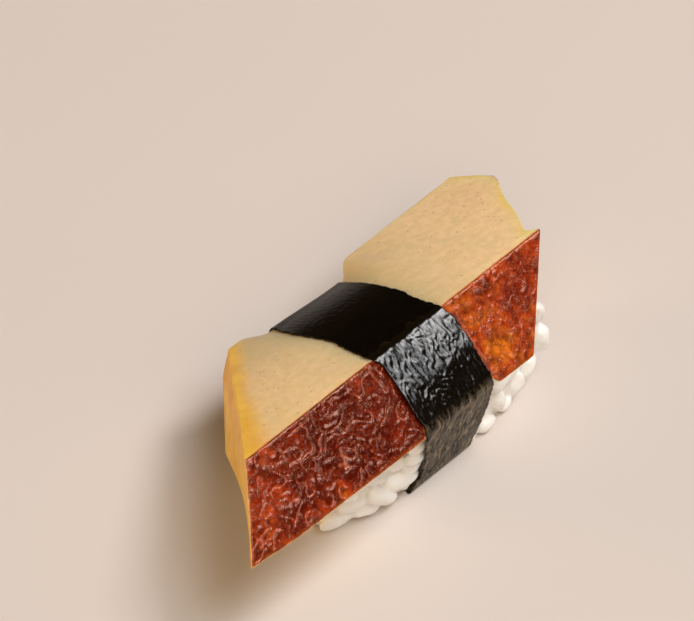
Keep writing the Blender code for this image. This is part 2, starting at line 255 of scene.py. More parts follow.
# Large grains on the near face, in mm: x and z of each one's ends, its width and how proud it sits
LARGE_GRAINS = (
    (28.0, 5.9, 35.6, 4.6, 3.7, 1.5),
    (23.9, 6.3, 30.6, 1.5, 4.0, 1.2),
    (15.4, 2.0, 22.0, 1.9, 2.8, 0.1),
    (21.4, 2.0, 27.8, 1.6, 3.4, 0.5),
    (18.8, 4.9, 25.2, 3.9, 3.6, 0.2),
    (32.7, 1.0, 33.5, 5.2, 2.6, 0.5),
    (35.2, 5.4, 34.8, 0.8, 3.0, -0.1),
    (28.6, 9.6, 34.4, 8.4, 3.6, 0.5),
    (31.6, 7.4, 36.0, 7.1, 3.0, 1.7),
    (31.4, 10.0, 36.4, 9.4, 3.3, 2.5),
    (31.6, 12.8, 36.4, 12.3, 3.3, 2.9),
    (63.8, 6.0, 62.3, 1.0, 2.7, 0.8),
    (56.9, 6.8, 58.4, 1.2, 3.6, 0.5),
    (51.9, 1.4, 56.6, 1.3, 2.6, 1.0),
    (58.0, 1.3, 61.8, 1.3, 2.6, 0.6),
    (70.0, 6.0, 71.2, 11.6, 3.6, 1.2),
    (65.6, 2.6, 69.0, 6.4, 3.4, 0.6),
)
NEAR_OF_HEAP = 14.0 * MM
LARGE_GRAIN_SINK = 0.35
GRAIN_CLEARANCE = 0.12 * MM
SLAB_CLEARANCE = 0.25 * MM
SKIN_CLEARANCE = 0.15 * MM
BAND_CLEARANCE = 0.15 * MM
TABLE_CLEARANCE = 0.03 * MM
BESIDE_BAND_SLOPE = 2.0
BAND_STEP = 0.25 * MM
UNDER_BAND_REACH = 1.2 * MM
MOST_PRESSED = 2.0 * MM
BELOW_ALL = -50 * MM
RICE_VOXEL = 0.30 * MM
RICE_SOFTENING = 1
# Painted shade in the rice's hollows: how far from the core it reaches, and how strong it is
HOLLOW_DEPTH = 1.3 * MM
HOLLOW_SHADE = 0.25

# Colours
CRUST_BROWNS = (
    (0.34, (0.075, 0.005, 0.001)),
    (0.44, (0.135, 0.012, 0.003)),
    (0.54, (0.230, 0.020, 0.004)),
    (0.66, (0.420, 0.048, 0.005)),
    (0.84, (0.760, 0.180, 0.010)),
)
NORI_BLACKS = ((0.40, (0.0010, 0.0006, 0.0002)), (0.65, (0.0028, 0.0018, 0.0008)))
# Olive-browns of the hanging band: painted reflection of the bright table and painted glow of light through
# the sheet
NORI_OLIVES = (
    (0.41, (0.004, 0.002, 0.001)),
    (0.51, (0.083, 0.060, 0.034)),
    (0.63, (0.300, 0.230, 0.148)),
)
RICE_WHITES = ((0.3, (0.89, 0.865, 0.825)), (0.7, (0.92, 0.905, 0.88)))
RICE_HOLLOW_SHADE = (0.80, 0.75, 0.65)
FLOOR_COLOURS = ((0.3, (0.693, 0.6237, 0.5742)), (0.7, (0.70, 0.63, 0.58)))

# Camera and light
PHOTO_SIZE = (694, 621)
PIXEL = 0.173 * MM
RIDGE_START_PIXEL = (247.0, 457.5)
CAMERA_TURN = math.radians(-47.85)
CAMERA_RISE = math.radians(45)
CAMERA_DISTANCE = 1.5
CAMERA_SENSOR = 36.0
NIGIRI_MIDDLE = Vector((36.9, 7.3, 14.3)) * MM
# Each softbox: how far round from the front and how high it stands in degrees, its distance and size in
# metres, its power in watts and its colour
SOFTBOXES = {
    "window": (61, 55, 2.0, 0.6, 17.0, (1.0, 0.965, 0.96)),
    "key": (12, 66, 2.0, 1.0, 19.0, (0.89, 0.94, 1.0)),
    "front": (-38, 42, 2.0, 1.4, 14.0, (1.0, 0.87, 0.68)),
    "left_card": (-134, 9, 2.0, 0.6, 14.5, (1.0, 0.63, 0.24)),
}
ROOM_LIGHT = (0.092, 0.055, 0.022)
FLOOR_HALF = 2.5


def blend(start, end, share):
    return start + (end - start) * share


def ease(share):
    """0 to 1 with a soft start and a soft end."""
    share = min(max(share, 0.0), 1.0)
    return share * share * (3 - 2 * share)


def rising(value, start, end):
    """0 before the start and 1 past the end, which may lie below the start."""
    return ease((value - start) / (end - start))


def aim(turn, rise):
    """The direction of something seen from the middle, turned round from the front and raised."""
    return Vector((math.sin(turn) * math.cos(rise), -math.cos(turn) * math.cos(rise), math.sin(rise)))


# Shader nodes

def new_material(name):
    material = bpy.data.materials.new(name)
    material.use_nodes = True
    tree = material.node_tree
    return material, tree, tree.nodes["Principled BSDF"]


def set_inputs(tree, node, sockets):
    """Gives each input, by name or number, a value or another node's output."""
    for name, value in sockets.items():
        if isinstance(value, bpy.types.NodeSocket):
            tree.links.new(value, node.inputs[name])
        else:
            node.inputs[name].default_value = value


def add_node(tree, kind, sockets=None, **settings):
    node = tree.nodes.new("ShaderNode" + kind)
    for name, value in settings.items():
        setattr(node, name, value)
    set_inputs(tree, node, sockets or {})
    return node


def place_of(tree):
    """The point being coloured, in the object's own metres."""
    return add_node(tree, "TexCoord").outputs["Object"]


def speckle(tree, place, size, detail=2.0, roughness=0.5, distortion=0.0):
    """Soft noise whose patches are about this size."""
    sockets = {
        "Vector": place,
        "Scale": 1 / size,
        "Detail": detail,
        "Roughness": roughness,
        "Distortion": distortion,
    }
    return add_node(tree, "TexNoise", sockets).outputs["Fac"]


def creases(tree, place, size, width, curl):
    """Thin winding lines about this far apart, from 0 to 1, which break off here and there."""
    away = mathematics(tree, "SUBTRACT", speckle(tree, place, size, 1.0, 0.4, curl), 0.5)
    line = span(tree, mathematics(tree, "ABSOLUTE", away), 0.0, width, 1.0, 0.0)
    gaps = span(tree, speckle(tree, place, size * 1.3, 1.0), 0.44, 0.54)
    return product(tree, line, gaps)


def attribute(tree, name):
    return add_node(tree, "Attribute", attribute_name=name).outputs["Fac"]


def span(tree, value, low, high, start=0.0, end=1.0):
    """Spreads the values from low to high over start to end, with soft ends."""
    sockets = {0: value, 1: low, 2: high, 3: start, 4: end}
    return add_node(tree, "MapRange", sockets, interpolation_type="SMOOTHSTEP").outputs[0]


def mathematics(tree, operation, first, second=0.5):
    return add_node(tree, "Math", {0: first, 1: second}, operation=operation).outputs[0]


def mixed(tree, share, first, second):
    """A colour mixed with a second one, which may be a plain (red, green, blue)."""
    if not isinstance(second, bpy.types.NodeSocket):
        second = (*second, 1.0)
    return add_node(tree, "Mix", {0: share, 6: first, 7: second}, data_type="RGBA").outputs[2]


def layered(tree, colour, *layers):
    """The colour under a row of layers, each given as its share and its own colour."""
    for share, layer in layers:
        colour = mixed(tree, share, colour, layer)
    return colour


def product(tree, first, second):
    return mathematics(tree, "MULTIPLY", first, second)


def total(tree, first, second):
    return mathematics(tree, "ADD", first, second)


def ramp(tree, value, *stops):
    """A colour for each value, from (value, colour) stops."""
    node = add_node(tree, "ValToRGB", {0: value})
    band = node.color_ramp
    for number, (position, colour) in enumerate(stops):
        stop = band.elements[number] if number < 2 else band.elements.new(position)
        stop.position = position
        stop.color = (*colour, 1.0)
    return node.outputs["Color"]


def bump(tree, height, depth, strength=1.0, before=None):
    sockets = {"Height": height, "Distance": depth, "Strength": strength}
    if before:
        sockets["Normal"] = before
    return add_node(tree, "Bump", sockets).outputs["Normal"]


def finish_surface(tree, shader, colour, roughness, normal, **numbers):
    """Sets the shader's inputs. A number's name is that of its socket, in small letters."""
    sockets = {"Base Color": colour, "Roughness": roughness, "Normal": normal}
    for name, value in numbers.items():
        sockets[name.replace("_", " ").title().replace("Ior", "IOR")] = value
    set_inputs(tree, shader, sockets)


def egg_material():
    """The cut omelette: pale yellow, deepened near its ends by painted glow, darkened by painted shade beside
    the band, along its far edge and in its scattered pores.
    """
    material, tree, shader = new_material("egg")
    place = place_of(tree)
    broad = speckle(tree, place, 9.0 * MM)
    fine = speckle(tree, place, 1.4 * MM, 3.0, 0.6)
    finest = speckle(tree, place, 0.7 * MM)
    clouds = speckle(tree, place, 4.5 * MM, 2.0, 0.5, 0.2)
    pale = layered(
        tree, ramp(tree, broad, (0.30, (0.765, 0.575, 0.305)), (0.70, (0.815, 0.610, 0.330))),
        (span(tree, fine, 0.40, 0.62, 0.0, 0.5), (0.97, 0.72, 0.44)),
        (span(tree, finest, 0.52, 0.68, 0.0, 0.25), (0.66, 0.42, 0.17)),
        (attribute(tree, "yellower"), (0.66, 0.43, 0.165)),
        # Painted shade beside the band and along the far edge
        (attribute(tree, "pressed"), (0.53, 0.42, 0.23)),
    )
    end = total(tree, attribute(tree, "to_end"), product(tree, broad, -4.0 * MM))
    rim = total(tree, attribute(tree, "to_crust"), product(tree, fine, -0.5 * MM))
    # Pores: painted shade in the tiny holes, with a bump that dents them
    pores = add_node(tree, "TexVoronoi", {"Vector": place, "Scale": 1 / (1.5 * MM), "Randomness": 1.0})
    pore = span(tree, pores.outputs["Distance"], 0.06, 0.18, 1.0, 0.0)
    pore = product(tree, pore, span(tree, speckle(tree, place, 4.0 * MM), 0.34, 0.50))
    colour = layered(
        tree, pale,
        # Deeper orange-yellow near the ends: painted glow of light passing through the egg
        (
            span(tree, end, -2.0 * MM, 3.4 * MM, 0.97, 0.0),
            ramp(tree, clouds, (0.34, (0.73, 0.410, 0.055)), (0.66, (0.84, 0.535, 0.095))),
        ),
        (span(tree, rim, -0.15 * MM, 0.10 * MM, 0.8, 0.0), (0.50, 0.17, 0.04)),
        (product(tree, pore, 0.62), (0.36, 0.22, 0.09)),
    )
    normal = bump(tree, product(tree, pore, -1.0), 0.10 * MM, 0.7)
    normal = bump(tree, fine, 0.05 * MM, 0.5, normal)
    finish_surface(
        tree, shader, colour, 0.5, normal,
        subsurface_weight=0.8, subsurface_radius=(1.0, 0.5, 0.18), subsurface_scale=6.0 * MM,
        ior=1.42,
    )
    return material


def crust_material():
    """The browned side: dark red-brown to orange, with painted shade where its relief is lowest and beside
    its crease lines, painted highlights along the crease lines and wrinkles, and a moist gloss.
    """
    material, tree, shader = new_material("browned_crust")
    place = place_of(tree)
    broad = speckle(tree, place, 8.0 * MM)
    patch = speckle(tree, place, 2.2 * MM, 3.0, 0.6, 0.6)
    grit = speckle(tree, place, 0.5 * MM, 3.0, 0.7, 0.4)
    tone = total(tree, product(tree, broad, 0.45), product(tree, patch, 0.55))
    tone = total(tree, tone, attribute(tree, "browning"))
    lines = creases(tree, place, 2.6 * MM, 0.022, 1.4)
    small_lines = creases(tree, place, 1.1 * MM, 0.034, 0.9)
    beside = creases(tree, place, 2.6 * MM, 0.075, 1.4)
    edge = total(tree, attribute(tree, "rim"), product(tree, patch, -0.5 * MM))
    colour = layered(
        tree, ramp(tree, tone, *CRUST_BROWNS),
        (span(tree, grit, 0.48, 0.64, 0.0, 0.45), (0.46, 0.045, 0.010)),
        (span(tree, grit, 0.36, 0.48, 0.50, 0.0), (0.060, 0.002, 0.0003)),
        # Painted shade where the relief value is lowest and beside the crease lines
        (span(tree, attribute(tree, "relief"), -0.50, 0.05, 0.80, 0.0), (0.055, 0.003, 0.0004)),
        (product(tree, beside, 0.40), (0.060, 0.003, 0.0004)),
        # Painted highlights along the crease lines and on the wrinkles; the crease lines are also bumped
        (product(tree, small_lines, 0.25), (0.50, 0.10, 0.04)),
        (product(tree, lines, 0.45), (0.60, 0.19, 0.10)),
        (attribute(tree, "wrinkle_glint"), (0.62, 0.20, 0.11)),
        (span(tree, edge, -0.1 * MM, 0.9 * MM, 0.5, 0.0), (0.40, 0.080, 0.010)),
        (span(tree, edge, -0.22 * MM, 0.10 * MM, 1.0, 0.0), (0.90, 0.52, 0.22)),
    )
    normal = bump(tree, grit, 0.02 * MM, 0.6)
    normal = bump(tree, lines, 0.13 * MM, 0.9, normal)
    normal = bump(tree, small_lines, 0.04 * MM, 0.8, normal)
    finish_surface(
        tree, shader, colour, span(tree, patch, 0.30, 0.70, 0.10, 0.16), normal,
        subsurface_weight=0.03, subsurface_radius=(1.0, 0.2, 0.1), subsurface_scale=0.6 * MM,
        ior=1.45, specular_ior_level=0.40, specular_tint=(1.0, 0.60, 0.46, 1.0),
    )
    return material


def nori_material(name, shine, fibre_depth):
    """Pressed seaweed, nearly black, olive-brown where it hangs as painted reflection of the bright table and
    painted glow through the sheet, with fibres along the band.
    """
    material, tree, shader = new_material(name)
    along = add_node(tree, "Attribute", attribute_name="weave").outputs["Vector"]
    narrow = add_node(tree, "Mapping", {"Vector": along, "Scale": (2.6, 2.2, 1.0)}).outputs[0]
    wide = add_node(tree, "Mapping", {"Vector": along, "Scale": (0.60, 0.45, 1.0)}).outputs[0]
    hanging = attribute(tree, "hanging")
    crumpled = attribute(tree, "crumpled")
    strands = speckle(tree, along, 1.0, 4.0, 0.65, 1.2)
    threads = speckle(tree, narrow, 1.0, 3.0, 0.6, 0.8)
    patches = speckle(tree, wide, 1.0, 4.0, 0.7, 1.0)
    # Olive-brown where the band hangs: painted reflection of the bright table and painted glow through the
    # sheet
    colour = mixed(tree, hanging, ramp(tree, strands, *NORI_BLACKS), ramp(tree, patches, *NORI_OLIVES))
    roughness = total(tree, span(tree, threads, 0.3, 0.7, 0.10, 0.20), product(tree, hanging, 0.25))
    normal = bump(tree, product(tree, strands, crumpled), fibre_depth, 0.8)
    normal = bump(tree, product(tree, threads, crumpled), fibre_depth * 0.3, 0.8, normal)
    finish_surface(tree, shader, colour, roughness, normal, ior=1.5, specular_ior_level=shine)
    return material


def rice_material():
    """Cooked rice: white, moist and slightly see-through, with painted shade in its hollows."""
    material, tree, shader = new_material("cooked_rice")
    place = place_of(tree)
    colour = ramp(tree, speckle(tree, place, 2.2 * MM), *RICE_WHITES)
    # Painted shade in the hollows among the grains
    colour = mixed(tree, attribute(tree, "hollow"), colour, RICE_HOLLOW_SHADE)
    normal = bump(tree, speckle(tree, place, 0.6 * MM), 0.03 * MM, 0.4)
    finish_surface(
        tree, shader, colour, 0.24, normal,
        subsurface_weight=0.55, subsurface_radius=(1.0, 0.92, 0.80), subsurface_scale=0.7 * MM,
        ior=1.4,
    )
    return material


def floor_material():
    material, tree, shader = new_material("floor")
    place = place_of(tree)
    colour = ramp(tree, speckle(tree, place, 60 * MM, 1.0), *FLOOR_COLOURS)
    normal = bump(tree, speckle(tree, place, 2 * MM), 0.01 * MM, 0.2)
    finish_surface(tree, shader, colour, 0.7, normal, ior=1.3)
    return material


# Meshes

def placed(name, data):
    """A new object in the scene."""
    obj = bpy.data.objects.new(name, data)
    bpy.context.scene.collection.objects.link(obj)
    return obj


def finished_mesh(obj):
    """The object's mesh with its modifiers carried out, which are then taken away."""
    graph = bpy.context.evaluated_depsgraph_get()
    mesh = bpy.data.meshes.new_from_object(obj.evaluated_get(graph))
    obj.modifiers.clear()
    return mesh


def mesh_object(name, points, faces, materials, face_materials=None):
    """A smooth mesh object, moved from the ridge's own place to the frame."""
    mesh = bpy.data.meshes.new(name)
    mesh.from_pydata([Vector(point) + RIDGE_START for point in points], [], faces)
    for material in materials:
        mesh.materials.append(material)
    if face_materials is not None:
        mesh.polygons.foreach_set("material_index", face_materials)
    mesh.shade_smooth()
    mesh.update()
    return placed(name, mesh)


def add_values(obj, name, values):
    """Stores a number for each point of the mesh, which its material reads."""
    layer = obj.data.attributes.new(name, "FLOAT", "POINT")
    layer.data.foreach_set("value", np.asarray(values, np.float32))


def normals_of(points, faces):
    """A unit normal for each point, for faces with four corners."""
    normals = np.zeros_like(points)
    corners = points[faces]
    tilt = np.cross(corners[:, 2] - corners[:, 0], corners[:, 3] - corners[:, 1])
    for corner in range(4):
        np.add.at(normals, faces[:, corner], tilt)
    return normals / np.maximum(np.linalg.norm(normals, axis=1), 1e-12)[:, None]


def smoothed(points, faces, weights, passes):
    """The points drawn towards the middle of their neighbours, each by its weight."""
    pairs = np.concatenate([faces[:, [corner, (corner + 1) % 4]] for corner in range(4)])
    pairs = np.concatenate([pairs, pairs[:, ::-1]])
    counts = np.zeros(len(points))
    np.add.at(counts, pairs[:, 0], 1)
    for _ in range(passes):
        sums = np.zeros_like(points)
        np.add.at(sums, pairs[:, 0], points[pairs[:, 1]])
        points = points + (sums / counts[:, None] - points) * (0.5 * weights)[:, None]
    return points


def crowded(share, crowding):
    """Moves the cuts of an even division towards both ends."""
    return share - crowding * math.sin(2 * math.pi * share) / (2 * math.pi)


def box_skin(cells):
    """The corners and the outward faces of a box's skin, divided into cells. Its third axis points down."""
    places = {}
    faces = []
    for axis in range(3):
        first, second = (other for other in range(3) if other != axis)
        for side in (0, cells[axis]):
            turned = (side == 0) == (axis == 1)
            for one in range(cells[first]):
                for two in range(cells[second]):
                    face = []
                    for step_one, step_two in ((0, 0), (1, 0), (1, 1), (0, 1)):
                        place = [side] * 3
                        place[first] = one + step_one
                        place[second] = two + step_two
                        face.append(places.setdefault(tuple(place), len(places)))
                    faces.append(face[::-1] if turned else face)
    return list(places), np.array(faces)


# The slab's shape, close to the solid's

def band_edges(share):
    """x of the band's left and right edges at this share of the way round."""
    for (start, *before), (end, *after) in zip(BAND_EDGES, BAND_EDGES[1:]):
        if share <= end:
            even = (share - start) / (end - start)
            part = (even + ease(even)) / 2
            return [blend(low, high, part) * MM for low, high in zip(before, after)]


def band_hold(x, across, depth):
    """How firmly the band holds the slab at this place: 1 under the band, fading to 0 beside it."""
    share = blend(RIDGE_SHARE - CRUST_SHARE * depth, FAR_EDGE_SHARE + FAR_SIDE_SHARE * depth, across)
    left, right = band_edges(share)
    outside = max(left - x, x - right) - blend(*PINCH_MARGIN, across)
    return 1 - ease(outside / blend(*PINCH_FADE, across))


def beside_band(x, across):
    """1 at the band's edges on the slab's top, fading to 0 away from them."""
    left, right = band_edges(blend(RIDGE_SHARE, FAR_EDGE_SHARE, across))
    return math.exp(-max(left - x, x - right, 0.0) / BAND_SIDE_SHADE_REACH)


def far_pinch(x):
    """How far the band draws in the slab's far side: more towards its right edge."""
    return blend(*FAR_PINCH, rising(x, BAND_LEFT, BAND_RIGHT)) * band_hold(x, 1.0, 0.0)


def crust_width(x, across):
    """The slab's size down its leaning sides: widest at the near crust, less where the band presses it."""
    full = CRUST_WIDTH + CRUST_WIDENING * x
    near = full - CRUST_TIP_LOSS * ease(-x / LEFT_LEAN) - CRUST_PINCH * band_hold(x, 0.0, 1.0)
    far = full * (1 - FAR_THINNING)
    return blend(near, far, across)


def section(x, across, depth, inset):
    """(y, z) of a point of the slab, drawn in by an inset from each of its four faces."""
    corner = math.pi - CRUST_LEAN - math.atan(FACE_SLOPE)
    width = crust_width(x, across)
    across_inset = inset / (FACE_REACH * math.sin(corner))
    depth_inset = inset / (width * math.sin(corner))
    across = blend(across_inset, 1 - across_inset, across)
    depth = blend(depth_inset, 1 - depth_inset, depth)
    y = FACE_REACH * across
    drop = FACE_SLOPE * y + FACE_BOW * y * y + math.sin(CRUST_LEAN) * width * depth
    y -= far_pinch(x) * across ** 3 + math.cos(CRUST_LEAN) * width * depth
    return y, RIDGE_HEIGHT - drop


def left_end(across, depth):
    """x of the slanting left cut. It bulges under its far upper corner and is hollow along its lower edge."""
    bulge = LEFT_BULGE * across * ease(depth / BULGE_START) * (1 - 0.3 * depth)
    hollow = LEFT_HOLLOW * depth * math.sin(math.pi * across)
    return LEFT_SKEW * across - LEFT_LEAN * depth - bulge + hollow


def right_end(across, depth):
    """x of the right cut: a blunt corner two thirds of the way across, and the crust's tip at the ridge."""
    if across < RIGHT_CORNER_ACROSS:
        share = across / RIGHT_CORNER_ACROSS
        out = RIGHT_CORNER_OUT * share + RIGHT_WAVE * math.sin(2 * math.pi * share)
    else:
        share = (across - RIGHT_CORNER_ACROSS) / (1 - RIGHT_CORNER_ACROSS)
        out = blend(RIGHT_CORNER_OUT, RIGHT_FAR_OUT, share)
    tip = CRUST_TIP * max(1 - across / CRUST_TIP_ACROSS, 0.0) * blend(1.0, 0.5, depth)
    return RIDGE_LENGTH + out + tip - RIGHT_LEAN * depth


def slab_point(along, across, depth):
    """A point of the slab from three shares of 0 to 1: left to right, near to far, and top to bottom."""
    x = blend(left_end(across, depth), right_end(across, depth), along)
    inset = (NORI_GAP + NORI_THICK - BAND_PROUD) * band_hold(x, across, depth)
    return (x, *section(x, across, depth, inset))


def wrinkles(place, coarse):
    """The crust's relief, from about -1 to 1, and the strength of the painted highlight on its wrinkles, from
    0 to 1.
    """
    place = place / MM
    drift = noise.noise_vector(place * DRIFT_RATE) * DRIFT_REACH
    gaps = noise.noise(place * GAP_RATE + Vector((4.0, 9.0, 2.0)))
    wrinkle = ease(1 - abs(noise.noise((place + drift) * WRINKLE_RATE)) / WRINKLE_THINNESS)
    wrinkle *= rising(gaps, *GAP_SPAN)
    crumple = noise.noise((place + drift * CRUMPLE_DRIFT) * CRUMPLE_RATE + Vector((7.0, 3.0, 1.0)))
    grit = noise.noise(place * GRIT_RATE)
    relief = BLISTER_SHARE * noise.noise(place * BLISTER_RATE) + blend(*WRINKLE_SHARES, coarse) * wrinkle
    relief += blend(*CRUMPLE_SHARES, coarse) * crumple + GRIT_SHARE * grit + CRUST_LEVEL
    return relief, blend(*WRINKLE_GLINT_SHARES, coarse) * wrinkle ** 3 * ease(grit * 1.5 + 0.6)


def browning(x, depth):
    """How much lighter (above 0) or darker (below 0) the near crust is here than the middle of its browns."""
    lighter = CRUST_LIGHTER_RIGHT * rising(x, *LIGHTER_SPAN)
    for patch_x, patch_depth, radius, amount in CRUST_PATCHES:
        away = math.hypot(x / MM - patch_x, (depth - patch_depth) * CRUST_WIDTH / MM)
        lighter += amount * math.exp(-((away / radius) ** 2))
    return lighter


def crust_relief(point, across, to_rim):
    """The height, the relief and the painted highlight on the wrinkles at a point of a crust. The near crust
    is coarser on the left.
    """
    coarse = rising(point[0], *COARSE_SPAN) if across == 0 else FAR_CRUST_COARSE
    relief, wrinkle_glint = wrinkles(Vector(point), coarse)
    strength = blend(FINER_RIGHT, 1.0, coarse) * blend(RIM_RELIEF, 1.0, ease(to_rim / QUIET_RIM))
    return -CRUST_RELIEF * relief * strength, relief * blend(0.6, 1.0, coarse), wrinkle_glint


def face_relief(point):
    """The height of a slow swell and a fine grain on the cut faces."""
    place = Vector(point)
    fine = FACE_GRAIN_SHARE * noise.noise(place / FACE_GRAIN)
    return FACE_RELIEF * (noise.noise(place / FACE_SWELL) + fine)


def painted_face_shade(x, across):
    """How much painted shade darkens the cut faces beside the band and along their far edge."""
    far = FAR_SHADE * rising(across, *FAR_SHADE_ACROSS) * rising(x, *FAR_SHADE_ALONG)
    return BAND_SIDE_SHADE * beside_band(x, across) + far


def omelette_piece():
    places, faces = box_skin(SLAB_CELLS)
    shares = [
        [crowded(step / cells, crowding) for step, cells, crowding in zip(place, SLAB_CELLS, SLAB_CROWDING)]
        for place in places
    ]
    points = np.array([slab_point(*share) for share in shares])
    along, across, depth = np.array(shares).T
    to_end = np.minimum(along, 1 - along) * (RIDGE_LENGTH + CRUST_TIP)
    to_crust = np.minimum(across, 1 - across) * FACE_REACH
    to_face = np.minimum(depth, 1 - depth) * CRUST_WIDTH
    to_edge = np.sort(np.stack([to_end, to_crust, to_face]), axis=0)[1]
    points = smoothed(points, faces, np.clip(1 - to_edge / SLAB_EDGE, 0, 1), SLAB_EDGE_PASSES)
    normals = normals_of(points, faces)
    on_crust = to_crust == 0
    values = {name: np.zeros(len(points)) for name in ("relief", "browning", "wrinkle_glint", "pressed")}
    height = np.zeros(len(points))
    for number, point in enumerate(points):
        if on_crust[number]:
            look = crust_relief(point, across[number], to_edge[number])
            height[number], values["relief"][number], values["wrinkle_glint"][number] = look
            values["browning"][number] = browning(point[0], depth[number])
        else:
            height[number] = face_relief(point)
            # Painted shade on the cut faces beside the band and along the far edge
            values["pressed"][number] = painted_face_shade(point[0], across[number])
        height[number] *= 1 - band_hold(point[0], across[number], depth[number])
    points = points + normals * height[:, None]
    crust_faces = on_crust[faces].all(axis=1).astype(np.int32)
    obj = mesh_object("omelette_slab", points, faces, [egg_material(), crust_material()], crust_faces)
    # The ends' painted glow: held back at the right end, brought further in at the left's near corner
    near_corner = LEFT_CORNER_DEEPER * (1 - across) ** 2
    values["to_end"] = np.where(along > 0.5, to_end + RIGHT_PALER, to_end - near_corner)
    values["to_crust"] = to_crust
    values["rim"] = np.minimum(to_end, np.where(depth < 0.5, to_face + RIDGE_RIM_FREE, to_face))
    values["yellower"] = np.clip(MOST_YELLOW - points[:, 0] / YELLOW_FADE, 0.0, MOST_YELLOW)
    for name, numbers in values.items():
        add_values(obj, name, numbers)
    return obj


# The band's way round the slab and the rice, close to the solid's

def rounded_loop(corners):
    """Points round a closed path with rounded corners. A corner is ((y, z), radius)."""
    path = []
    for number, (corner, radius) in enumerate(corners):
        corner = Vector(corner)
        if radius == 0:
            path.append(corner)
            continue
        back = (Vector(corners[number - 1][0]) - corner).normalized()
        ahead = (Vector(corners[(number + 1) % len(corners)][0]) - corner).normalized()
        reach = radius * math.tan((math.pi - back.angle(ahead)) / 2)
        start = corner + back * reach
        end = corner + ahead * reach
        for step in range(BAND_ARC_STEPS + 1):
            share = step / BAND_ARC_STEPS
            path.append(start.lerp(corner, share).lerp(corner.lerp(end, share), share))
    return path


def band_loop(x):
    """The band's inner face at x, as (y, z) points from the near foot up, over the slab and down again."""
    inset = NORI_THICK - BAND_PROUD
    crust_edge = Vector(section(x, 0.0, 1.0, inset))
    crust_middle = Vector(section(x, 0.0, SWELL_DEPTH, inset))
    far_edge = Vector(section(x, 1.0, 0.0, inset))
    steps = [step / BAND_TOP_STEPS for step in range(BAND_TOP_STEPS + 1)]
    tops = [section(x, blend(*BAND_TOP_SPAN, share), 0.0, inset) for share in steps]
    corners = [
        ((BAND_FOOT_NEAR, BAND_FLOOR), NEAR_FOOT_RADIUS),
        (crust_edge + NEAR_SHOULDER_OUT, SHOULDER_RADIUS),
        (crust_middle + CRUST_SWELL, SWELL_RADIUS),
        (section(x, 0.0, 0.0, inset), RIDGE_RADIUS),
        *((top, 0.0) for top in tops),
        (far_edge + FAR_SHOULDER_OUT, SHOULDER_RADIUS),
        ((BAND_FOOT_FAR, BAND_FLOOR), FAR_FOOT_RADIUS),
    ]
    return rounded_loop(corners)


def even_loop(x, count):
    """The band's inner face at x, as evenly spaced points, and its whole length."""
    path = np.array([tuple(point) for point in band_loop(x)])
    path = np.vstack([path, path[:1]])
    lengths = np.concatenate([[0], np.cumsum(np.linalg.norm(np.diff(path, axis=0), axis=1))])
    wanted = np.linspace(0, lengths[-1], count, endpoint=False)
    return np.stack([np.interp(wanted, lengths, path[:, axis]) for axis in (0, 1)], axis=1), lengths[-1]


def fibres(round_way, x):
    """The nori's relief, from about -1 to 1: fibres along the band and crumples between them."""
    place = Vector((round_way / MM, x / MM, 3.0))
    drift = noise.noise_vector(place * FIBRE_DRIFT_RATE) * FIBRE_DRIFT_REACH
    relief = BAND_LEVEL
    for along, across, layer, drifting, weight in BAND_FIBRES:
        fibre = noise.noise(Vector((place.x * along, place.y * across, layer)) + drift * drifting)
        relief += weight * (1 - FIBRE_SHARPNESS * abs(fibre))
    for rate, offset, weight in BAND_SWELLS:
        relief += weight * noise.noise(place * rate + Vector(offset))
    return relief


def ragged_edges(share, way_round):
    """x of the band's left and right edges at this share of the way round, with their small tears."""
    angle = 2 * math.pi * share
    circle = Vector((math.cos(angle), math.sin(angle), 0.0)) * (way_round / (2 * math.pi * RAGGED_SIZE))
    left, right = band_edges(share)
    left += BAND_RAGGED * noise.fractal(circle, 0.7, 2.0, 3)
    right += BAND_RAGGED * noise.fractal(circle + Vector((0, 0, 9)), 0.7, 2.0, 3)
    return left, right


def band_sheet():
    """The band's inner face: its points, its faces, and each point's way round and x."""
    rounds, columns = BAND_CELLS
    stations = np.linspace(BAND_LEFT - MM, BAND_RIGHT + MM, BAND_STATIONS)
    loops = [even_loop(x, rounds) for x in stations]
    way_round = np.mean([length for _, length in loops])
    loops = np.array([points for points, _ in loops])
    points = []
    weave = []
    for place in range(rounds):
        left, right = ragged_edges(place / rounds, way_round)
        for column in range(columns + 1):
            x = blend(left, right, column / columns)
            y, z = (np.interp(x, stations, loops[:, place, axis]) for axis in (0, 1))
            points.append((x, y, z))
            weave.append((place / rounds * way_round, x))
    starts = [place * (columns + 1) for place in range(rounds)]
    faces = [
        (row + column, row + column + 1, following + column + 1, following + column)
        for row, following in zip(starts, starts[1:] + starts[:1])
        for column in range(columns)
    ]
    return np.array(points), np.array(faces), np.array(weave), way_round


def band_parts(way):
    """How much each place hangs free, stands out in relief and looks crumpled, from 0 to 1."""
    on_crust = np.clip(1.3 - np.abs(way - CRUST_MIDDLE_SHARE) / (CRUST_SHARE / 2), 0, 1)
    past_slab = np.maximum(RIDGE_SHARE - CRUST_SHARE - way, way - FAR_HANG_SHARE)
    hanging = np.clip(past_slab / HANG_FADE + 0.5, 0, 1)
    raised = np.maximum(blend(TOP_CRUMPLE, 1.0, on_crust), HANG_CRUMPLE * hanging)
    at_far_fold = np.exp(-(((way - FAR_FOLD_SHARE) / FAR_FOLD_WIDTH) ** 2))
    return hanging, raised, np.maximum(raised, FAR_FOLD_CRUMPLE * at_far_fold)


